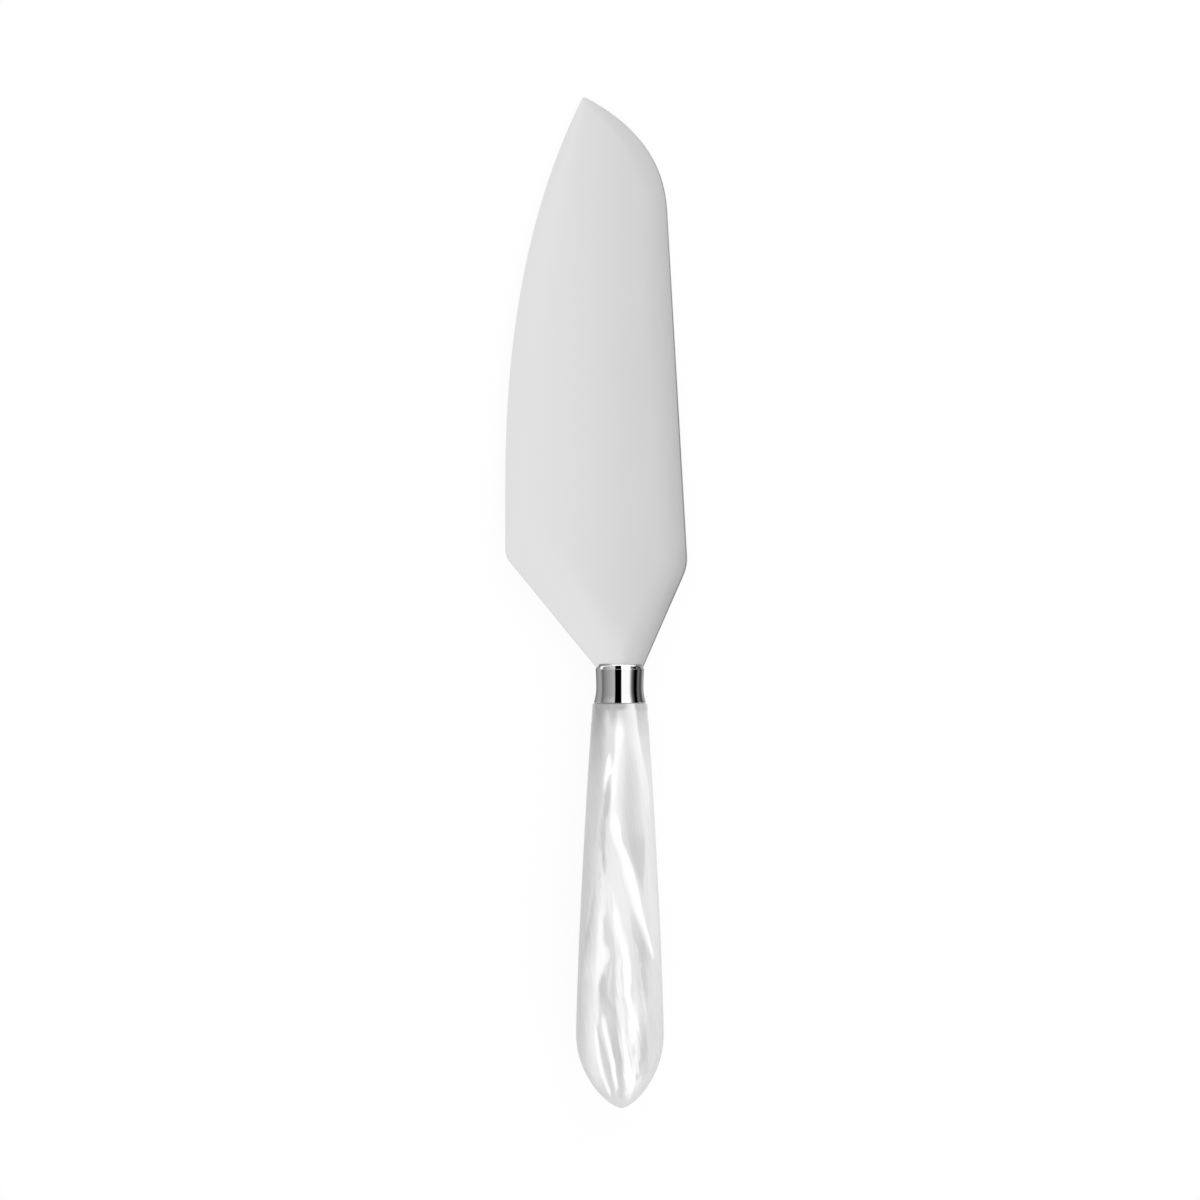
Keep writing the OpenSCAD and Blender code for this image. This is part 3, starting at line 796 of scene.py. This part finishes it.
        (105, -4.4, -2.6, 70), (108, -3.5, -2, 75), (111, -2.6, -1.5, 80), (114, -2.1, -1.3, 0))),
    "left_thread": (100, 0.35, 0.3, 0.1, (
        (93, -6.9, -6.6, 0), (95.5, -6.8, -6.2, 80), (99, -6.6, -5.8, 100), (103, -6.1, -5.2, 100),
        (106.5, -5.5, -4.5, 100), (109.5, -4.6, -3.7, 100), (112, -3.6, -2.7, 95),
        (113.8, -2.8, -2.2, 0))),
    "mid_thread": (100, 0.4, 0.3, 0.1, (
        (91.5, -4.9, -4, 0), (94, -4.8, -3.7, 80), (97, -4.3, -3.2, 95), (100, -3.5, -2.4, 100),
        (104, -2.6, -1.6, 100), (108, -1.9, -1, 100), (110.5, -1.3, -0.6, 85),
        (112.5, -0.9, -0.5, 0))),
}
COURSE_LENGTH = 120
COURSE_WIDTH = 30
# Heights about the axis, in millimetres, between which the back's folds give way to the face's.
BACK_TO_FACE = (-3.5, 1)
ACRYLIC_IOR = 1.49


def streak(tree, tone, across, down, fibre, name):
    """Mixes one streak into the tone so far. across runs from 0 to 1 over the handle's width, and
    down along it, as a grey, because the curves take a colour."""
    target, soft_left, soft_right, fray, course = STREAKS[name]
    curves = add(tree, "RGBCurve", {"Color": down}, label=name)
    for column, curve in enumerate(list(curves.mapping.curves)[:3]):
        for number, row in enumerate(course):
            at = row[0] / COURSE_LENGTH
            value = row[3] / 100 if column == 2 else 0.5 + row[1 + column] / COURSE_WIDTH
            if number in (0, len(course) - 1):
                point = curve.points[0 if number == 0 else -1]
                point.location = (at, value)
            else:
                point = curve.points.new(at, value)
            point.handle_type = "AUTO_CLAMPED"
    curves.mapping.extend = "HORIZONTAL"
    curves.mapping.update()
    left, right, cover = add(tree, "SeparateColor", {0: curves}).outputs
    frayed = calc(tree, "MULTIPLY_ADD", fibre, fray / COURSE_WIDTH, across)
    from_left = calc(tree, "SUBTRACT", frayed, left)
    from_right = calc(tree, "SUBTRACT", right, frayed)
    for inside, soft in ((from_left, soft_left), (from_right, soft_right)):
        reach = soft / COURSE_WIDTH
        # A smooth step needs no clamp, and without one Cycles has room for more streaks.
        ramp = remap(tree, inside, -reach, reach, interpolation_type="SMOOTHSTEP", clamp=False)
        cover = calc(tree, "MULTIPLY", ramp, cover)
    return add(tree, "Mix", {0: cover, 2: tone, 3: target / 100})


def grain(tree, place, size, lean, **inputs):
    """Noise drawn out into grain of a size in millimetres, leaning to the spine side by degrees."""
    turned = (0, 0, math.radians(lean))
    at = add(tree, "Mapping", {"Vector": place, "Rotation": turned, "Scale": size},
             vector_type="TEXTURE")
    return add(tree, "TexNoise", {"Vector": at, "Scale": 1, **inputs})


def pearl_acrylic(settings):
    """Cast acrylic with pearl pigment, polished: folds of pigment show as soft light and grey
    streaks along the handle, under a clear gloss. Some streaks are painted shade on its sides,
    collar and butt, and a painted shadow where it meets the ferrule."""
    material, tree, place = new_material("pearl_cast_acrylic")
    # Millimetres from the axis, with heights from the blade end of the ferrule.
    local = add(tree, "Mapping", {
        "Vector": place, "Location": (-AXIS_X / MM, -FERRULE_TOP / MM, -AXIS_Z / MM),
        "Scale": (1 / MM, 1 / MM, 1 / MM)})
    x, y, z = add(tree, "SeparateXYZ", {0: local}).outputs

    # Folds wander by up to 0.2 mm in lengths of about 20 mm, and fray into fibres 0.5 mm wide.
    drift = grain(tree, local, (3, 20, 4), 10, Detail=1)
    wander = remap(tree, drift, 0, 1, -0.4, 0.4, clamp=False)
    across = remap(tree, calc(tree, "ADD", x, wander), -COURSE_WIDTH / 2, COURSE_WIDTH / 2)
    run = remap(tree, y, 0, -COURSE_LENGTH)
    down = add(tree, "CombineColor", {0: run, 1: run, 2: run})
    fibres = grain(tree, local, (0.5, 7, 2), 10, Detail=2)
    fibre = remap(tree, fibres, 0, 1, -2, 2, clamp=False)

    # Body of the pearl: streaks about 3 mm wide and 40 mm long that lean with the folds.
    body = grain(tree, local, (3, 40, 5), 7, Detail=2, Distortion=0.6)
    tone = remap(tree, body, *NOISE_RANGE, 0.55, 0.63)
    # The streaks in turn, the painted shade and shadow among them.
    for name in STREAKS:
        tone = streak(tree, tone, across, down, fibre, name)

    # The back has folds of its own: broader streaks, 4 mm wide and 50 mm long.
    back = grain(tree, local, (4, 50, 6), -10, Detail=4, Distortion=1.2)
    back_tone = remap(tree, back, 0.36, 0.64, 0.3, 1)
    face = remap(tree, z, *BACK_TO_FACE, interpolation_type="SMOOTHSTEP")
    tone = add(tree, "Mix", {0: face, 2: back_tone, 3: tone})

    # Fine threads of pigment, 0.4 mm wide and 9 mm long.
    thread = grain(tree, local, (0.4, 9, 1.5), 8, Detail=2)
    tone = calc(tree, "ADD", tone, remap(tree, thread, 0, 1, -0.08, 0.08, clamp=False))

    colour = colour_ramp(tree, tone, ((0, settings.pearl_shade), (0.5, settings.pearl_body),
                                      (1, settings.pearl_light)))
    bump = add(tree, "Bump", {"Strength": 0.1, "Distance": 0.2 * MM, "Height": tone})
    shader = add(tree, "BsdfPrincipled", {
        "Base Color": colour, "Metallic": 0, "Roughness": 0.4, "IOR": ACRYLIC_IOR, "Normal": bump,
        "Coat Weight": 1, "Coat Roughness": settings.roughness, "Coat IOR": ACRYLIC_IOR})
    return with_surface(material, shader)


class CAKESERVER_OT_handle(bpy.types.Operator):
    """Model the pearl acrylic handle with its spigot and bore"""
    bl_idname = "cake_server.handle"
    bl_label = "Handle"
    bl_options = {"REGISTER", "UNDO"}

    def execute(self, context):
        settings = context.scene.cake_server_handle
        bm = turn(handle_profile(settings))
        make_oval(bm, settings)
        finish_piece(bm, "pearl_handle", "handle", pearl_acrylic(settings))
        return {"FINISHED"}


# Resin


def bonding_resin():
    """Cured epoxy: amber, a little cloudy, smooth where it met the bore."""
    material, tree, place = new_material("cured_epoxy")
    # Clouds of filler about 1.5 mm across.
    cloud = add(tree, "TexNoise", {"Vector": place, "Scale": 1 / (1.5 * MM), "Detail": 3})
    colour = colour_ramp(tree, cloud, ((0, linear("#c2ad7a")), (1, linear("#dccba0"))))
    shader = add(tree, "BsdfPrincipled", {"Base Color": colour, "Roughness": 0.45, "IOR": 1.55})
    return with_surface(material, shader)


class CAKESERVER_OT_resin(bpy.types.Operator):
    """Give the resin around the tang its finish"""
    bl_idname = "cake_server.resin"
    bl_label = "Bonding Resin"
    bl_options = {"REGISTER", "UNDO"}

    def execute(self, context):
        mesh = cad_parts["tang_resin"].data
        mesh.materials.clear()
        mesh.materials.append(bonding_resin())
        return {"FINISHED"}


# Stage

# What a mirror finish sees of the studio, by twice the angle from straight up at which it faces
# the spine side: dim left side, black flag overhead, white softbox, black right side.
MIRROR_BANDS = (
    (-180, 0.33), (-110, 0.33), (-96, 0.16), (-86, 0.16), (-80, 0.225), (-68, 0.28), (-46, 0.38),
    (-29, 0.45), (-25, 0.43), (-22.5, 0), (6, 0), (8.5, 1), (46, 1), (53, 0.45), (58.5, 0.17),
    (64, 0.085), (69.5, 0.03), (74, 0), (86, 0), (98, 0.09), (116, 0.05), (134, 0.4), (180, 0.4))
# Mirrors in mirrors see the plain tent, from this depth on.
MIRROR_DEPTH = 2.5
# How much lighter the studio gets beyond the blade, and between which tilts towards it.
BEYOND_LIGHT = 1.5
BEYOND_TILTS = (0.25, 0.6)

# Tones of the cloth over the blade, by place along X in millimetres, its ends and its height.
OVER_CLOTH = (
    (-600, 0.957), (-60, 0.962), (-30, 0.99), (-15, 1), (-5, 0.972), (5, 0.858), (15, 0.77),
    (25, 0.757), (40, 0.774), (55, 0.764), (70, 0.697), (85, 0.6), (100, 0.495), (120, 0.385),
    (160, 0.28), (250, 0.17), (600, 0.07))
OVER_CLOTH_ENDS = (-450 * MM, 450 * MM)
OVER_CLOTH_HEIGHT = 350 * MM
# Tones of the card under the handle, by place along X in millimetres, and its ends.
RIM_CARD = ((-120, 0.9), (-60, 0.7), (60, 0.7), (120, 0.9))
RIM_CARD_ENDS = (HANDLE_LOW.y - 60 * MM, FERRULE_FOOT - 5 * MM)

# Grey cards that lie beside the ferrule: distance from the axis, tone, and reach from the
# ferrule's middle towards the handle and towards the blade. Lengths are in millimetres.
EDGE_CARD = (
    (5, 0.12, 15, 14), (10, 0.14, 18, 14), (14, 0.35, 20, 14), (21, 0.35, 25, 13),
    (26, 0.35, 28, 9), (40, 0.35, 36, 13), (58, 0.35, 47, 20), (74, 0.2, 56, 26),
    (90, 0.19, 66, 85), (400, 0.16, 252, 360), (1900, 0.16, 1150, 1700))
SPINE_CARD = (
    (5, 0.4, 16, 16), (14, 0.4, 23, 23), (17.5, 0.3, 26, 26), (20, 0.08, 28, 28),
    (23.5, 0.03, 31, 31), (28, 0.05, 34, 34), (34, 0.1, 39, 39), (53, 0.13, 54, 54),
    (125, 0.14, 112, 112), (250, 0.04, 212, 212), (1900, 0, 1530, 1530))
# A strip on the neck of the blade that only the ferrule's mirror shows, which darkens the left
# corner of the ferrule's end: a painted reflection.
NECK_CARD = ((3, 0.3, -5, 11), (5, 0.25, -5, 11), (7.6, 0.15, -5, 11))
CARD_LIFT = 0.3 * MM

# Two soft lights that face the ferrule from the spine side: their size, and where they hang.
FILL_SIZE = (1200 * MM, 800 * MM)
FILL_PLACES = {"fill_at_butt": (250 * MM, -750 * MM, 600 * MM),
               "fill_at_tip": (250 * MM, 750 * MM, 600 * MM)}
# Places along X, in millimetres, that take in the whole of such a light.
FILL_SPAN = (-1000, 1000)

FLOOR_SIZE = 4000 * MM
FLOOR_GAP = 0.05 * MM
WIDE_SEGMENTS = 8
CLIP_START = 10 * MM

# Kinds of ray that don't see a light, and those that don't see a sheet for reflections only.
LIGHT_HIDDEN_FROM = ("camera", "shadow", "transmission")
SHEET_HIDDEN_FROM = (*LIGHT_HIDDEN_FROM, "diffuse")


def flat_sheet(size, segments=2):
    """A flat grid of a size about the origin."""
    bm = bmesh.new()
    bmesh.ops.create_grid(bm, x_segments=segments, y_segments=segments, size=0.5)
    bmesh.ops.scale(bm, verts=bm.verts, vec=(*size, 1))
    return bm


def stage_sheet(bm, name, material, hidden_from=()):
    """Turns a bmesh into a stage object that some kinds of ray don't see."""
    sheet = new_object(bm, name)
    sheet.data.materials.append(material)
    for kind in hidden_from:
        setattr(sheet, "visible_" + kind, False)


def lit_sheet(name, tones, in_mirrors=False):
    """Lit cloth or card, with tones by place along X in millimetres. It shows in mirror finishes
    only, or in everything but those."""
    material, tree, place = new_material(name)
    start, end = tones[0][0], tones[-1][0]
    run = remap(tree, add(tree, "SeparateXYZ", {0: place}), start * MM, end * MM)
    glow = add(tree, "Emission", {"Color": grey_ramp(tree, run, start, end, tones), "Strength": 1})
    clear = add(tree, "BsdfTransparent")
    mirrored = add(tree, "LightPath").outputs["Is Singular Ray"]
    shown = {1: clear, 2: glow} if in_mirrors else {1: glow, 2: clear}
    return with_surface(material, add(tree, "MixShader", {0: mirrored, **shown}))


def toned_sheet(name, tones, ends, height, **grid):
    """A sheet with tones along X, between two ends along the server, seen only in reflections."""
    start, end = tones[0][0] * MM, tones[-1][0] * MM
    bm = flat_sheet((end - start, ends[1] - ends[0]), **grid)
    bmesh.ops.translate(bm, verts=bm.verts, vec=((start + end) / 2, sum(ends) / 2, 0))
    for vert in bm.verts:
        vert.co.z = height(vert.co.y)
    stage_sheet(bm, name, lit_sheet(name, tones), SHEET_HIDDEN_FROM)


def side_card(name, side, rows, height):
    """A grey card that lies flat at a height beside the ferrule, which only its mirror shows."""
    middle_y = (FERRULE_TOP + FERRULE_FOOT) / 2
    bm = bmesh.new()
    bmesh.ops.create_grid(bm, x_segments=len(rows) - 1, y_segments=1, size=0.5)
    for vert in bm.verts:
        distance, _, to_handle, to_blade = rows[round((vert.co.x + 0.5) * (len(rows) - 1))]
        y = middle_y + (to_blade if vert.co.y > 0 else -to_handle) * MM
        vert.co = (AXIS_X + side * distance * MM, y, height(y) + CARD_LIFT)
    tones = [(AXIS_X / MM + side * row[0], row[1]) for row in rows]
    stage_sheet(bm, name, lit_sheet(name, tones, in_mirrors=True), SHEET_HIDDEN_FROM)


def fill_panel(name, place, radiance):
    """A soft light that faces the ferrule."""
    bm = flat_sheet(FILL_SIZE)
    aim = Vector((AXIS_X, FERRULE_TOP, AXIS_Z)) - Vector(place)
    facing = aim.to_track_quat("-Z", "Y").to_matrix()
    bmesh.ops.rotate(bm, verts=bm.verts, cent=(0, 0, 0), matrix=facing)
    bmesh.ops.translate(bm, verts=bm.verts, vec=place)
    even = lit_sheet(name, [(end, radiance) for end in FILL_SPAN])
    stage_sheet(bm, name, even, LIGHT_HIDDEN_FROM)


def white_tent(settings):
    """A world of even white, in which a mirror finish sees the flags and lights of the studio."""
    world = bpy.data.worlds.new("studio_tent")
    world.use_nodes = True
    tree = world.node_tree
    tree.nodes.clear()
    tent = add(tree, "Background", {"Color": WHITE, "Strength": settings.tent})
    x, y, z = add(tree, "SeparateXYZ", {0: add(tree, "TexCoord").outputs["Generated"]}).outputs
    # Half of the angle from straight up has x / (z + 1) as its tangent.
    half_angle = calc(tree, "ARCTAN2", x, calc(tree, "ADD", z, 1))
    turned = remap(tree, half_angle, -math.pi / 2, math.pi / 2)
    bands = grey_ramp(tree, turned, -180, 180, MIRROR_BANDS)
    beyond = remap(tree, y, *BEYOND_TILTS, 1, BEYOND_LIGHT)
    seen = add(tree, "Background", {"Color": bands, "Strength": beyond})
    white = add(tree, "Background", {"Color": WHITE, "Strength": 1})
    ray = add(tree, "LightPath").outputs
    first = calc(tree, "LESS_THAN", ray["Ray Depth"], MIRROR_DEPTH)
    mirror = calc(tree, "MULTIPLY", ray["Is Singular Ray"], first)
    lit = add(tree, "MixShader", {0: mirror, 1: tent, 2: seen})
    shown = add(tree, "MixShader", {0: ray["Is Camera Ray"], 1: lit, 2: white})
    add(tree, "OutputWorld", {"Surface": shown})
    bpy.context.scene.world = world


def white_paper(settings):
    """Matt white paper: plain white to the eye, with a faint shadow of what lies on it."""
    material, tree, place = new_material("white_paper")
    # Paper fibre about 2 mm across.
    fibre = add(tree, "TexNoise", {"Vector": place, "Scale": 1 / (2 * MM)})
    colour = toned(tree, settings.floor, remap(tree, fibre, 0, 1, 0.99, 1.01))
    paper = add(tree, "BsdfDiffuse", {"Color": colour})
    glow = add(tree, "Emission", {"Color": WHITE, "Strength": 1})
    bright = add(tree, "MixShader", {0: settings.glow, 1: paper, 2: glow})
    ray = add(tree, "LightPath").outputs
    seen = calc(tree, "MAXIMUM", ray["Is Camera Ray"], ray["Is Glossy Ray"])
    seen = calc(tree, "MAXIMUM", seen, ray["Is Transmission Ray"])
    return with_surface(material, add(tree, "MixShader", {0: seen, 1: paper, 2: bright}))


def floor_height(y):
    """Height of the floor, which the handle's collar and the tip of the blade touch."""
    handle = bpy.context.scene.cake_server_handle
    collar_y = FERRULE_FOOT - handle.collar_round
    collar_z = AXIS_Z - FOOT_RADIUS - handle.collar_step
    slope = (BLADE_LOW.z - collar_z) / (BLADE_HIGH.y - collar_y)
    return collar_z + slope * (y - collar_y) - FLOOR_GAP


def floor_sheet(settings):
    """A sheet of paper under the server."""
    bm = flat_sheet((FLOOR_SIZE, FLOOR_SIZE), WIDE_SEGMENTS)
    for vert in bm.verts:
        vert.co.z = floor_height(vert.co.y)
    stage_sheet(bm, "floor", white_paper(settings))


def hang_camera(scene, settings):
    """A camera over the server that looks straight down."""
    camera = bpy.data.cameras.new("camera")
    camera.lens = settings.lens
    camera.clip_start = CLIP_START
    height = settings.frame_width * settings.lens / camera.sensor_width
    hung = bpy.data.objects.new("camera", camera)
    hung.location = (AXIS_X + settings.aim_x, FERRULE_TOP + settings.aim_y, AXIS_Z + height)
    scene.collection.objects.link(hung)
    scene.camera = hung


class CAKESERVER_OT_stage(bpy.types.Operator):
    """Lay the floor, and set the light and the camera"""
    bl_idname = "cake_server.stage"
    bl_label = "Stage"
    bl_options = {"REGISTER", "UNDO"}

    def execute(self, context):
        scene = context.scene
        settings = scene.cake_server_stage
        scene.view_settings.view_transform = "Standard"
        floor_sheet(settings)
        white_tent(settings)
        toned_sheet("cloth_over_blade", OVER_CLOTH, OVER_CLOTH_ENDS,
                    lambda y: OVER_CLOTH_HEIGHT, segments=WIDE_SEGMENTS)
        for name, place in FILL_PLACES.items():
            fill_panel(name, place, settings.fill)
        side_card("card_at_edge", -1, EDGE_CARD, floor_height)
        side_card("card_at_spine", 1, SPINE_CARD, floor_height)
        side_card("card_on_neck", -1, NECK_CARD, lambda y: BLADE_HIGH.z)
        toned_sheet("card_under_handle", RIM_CARD, RIM_CARD_ENDS,
                    lambda y: floor_height(y) + CARD_LIFT)
        hang_camera(scene, settings)
        return {"FINISHED"}


class CAKESERVER_PT_panel(bpy.types.Panel):
    """Sizes, finishes and steps of the cake server"""
    bl_idname = "CAKESERVER_PT_panel"
    bl_label = "Cake Server"
    bl_space_type = "VIEW_3D"
    bl_region_type = "UI"
    bl_category = "Cake Server"

    def draw(self, context):
        for operator, pointer in STEPS:
            box = self.layout.box()
            box.operator(operator.bl_idname)
            if pointer:
                settings = getattr(context.scene, pointer)
                for name in settings.__annotations__:
                    box.prop(settings, name)


STEPS = (
    (CAKESERVER_OT_blade, "cake_server_blade"),
    (CAKESERVER_OT_ferrule, "cake_server_ferrule"),
    (CAKESERVER_OT_handle, "cake_server_handle"),
    (CAKESERVER_OT_resin, None),
    (CAKESERVER_OT_stage, "cake_server_stage"),
)
SETTINGS = {
    "cake_server_blade": BladeSettings,
    "cake_server_ferrule": FerruleSettings,
    "cake_server_handle": HandleSettings,
    "cake_server_stage": StageSettings,
}
CLASSES = (*SETTINGS.values(), *(operator for operator, _ in STEPS), CAKESERVER_PT_panel)


def register():
    for cls in CLASSES:
        bpy.utils.register_class(cls)
    for name, group in SETTINGS.items():
        setattr(bpy.types.Scene, name, PointerProperty(type=group))


def unregister():
    for name in SETTINGS:
        delattr(bpy.types.Scene, name)
    for cls in reversed(CLASSES):
        bpy.utils.unregister_class(cls)


def main():
    register()
    bpy.ops.cake_server.blade()
    bpy.ops.cake_server.ferrule()
    bpy.ops.cake_server.handle()
    bpy.ops.cake_server.resin()
    bpy.ops.cake_server.stage()


if __name__ == "__main__":
    main()
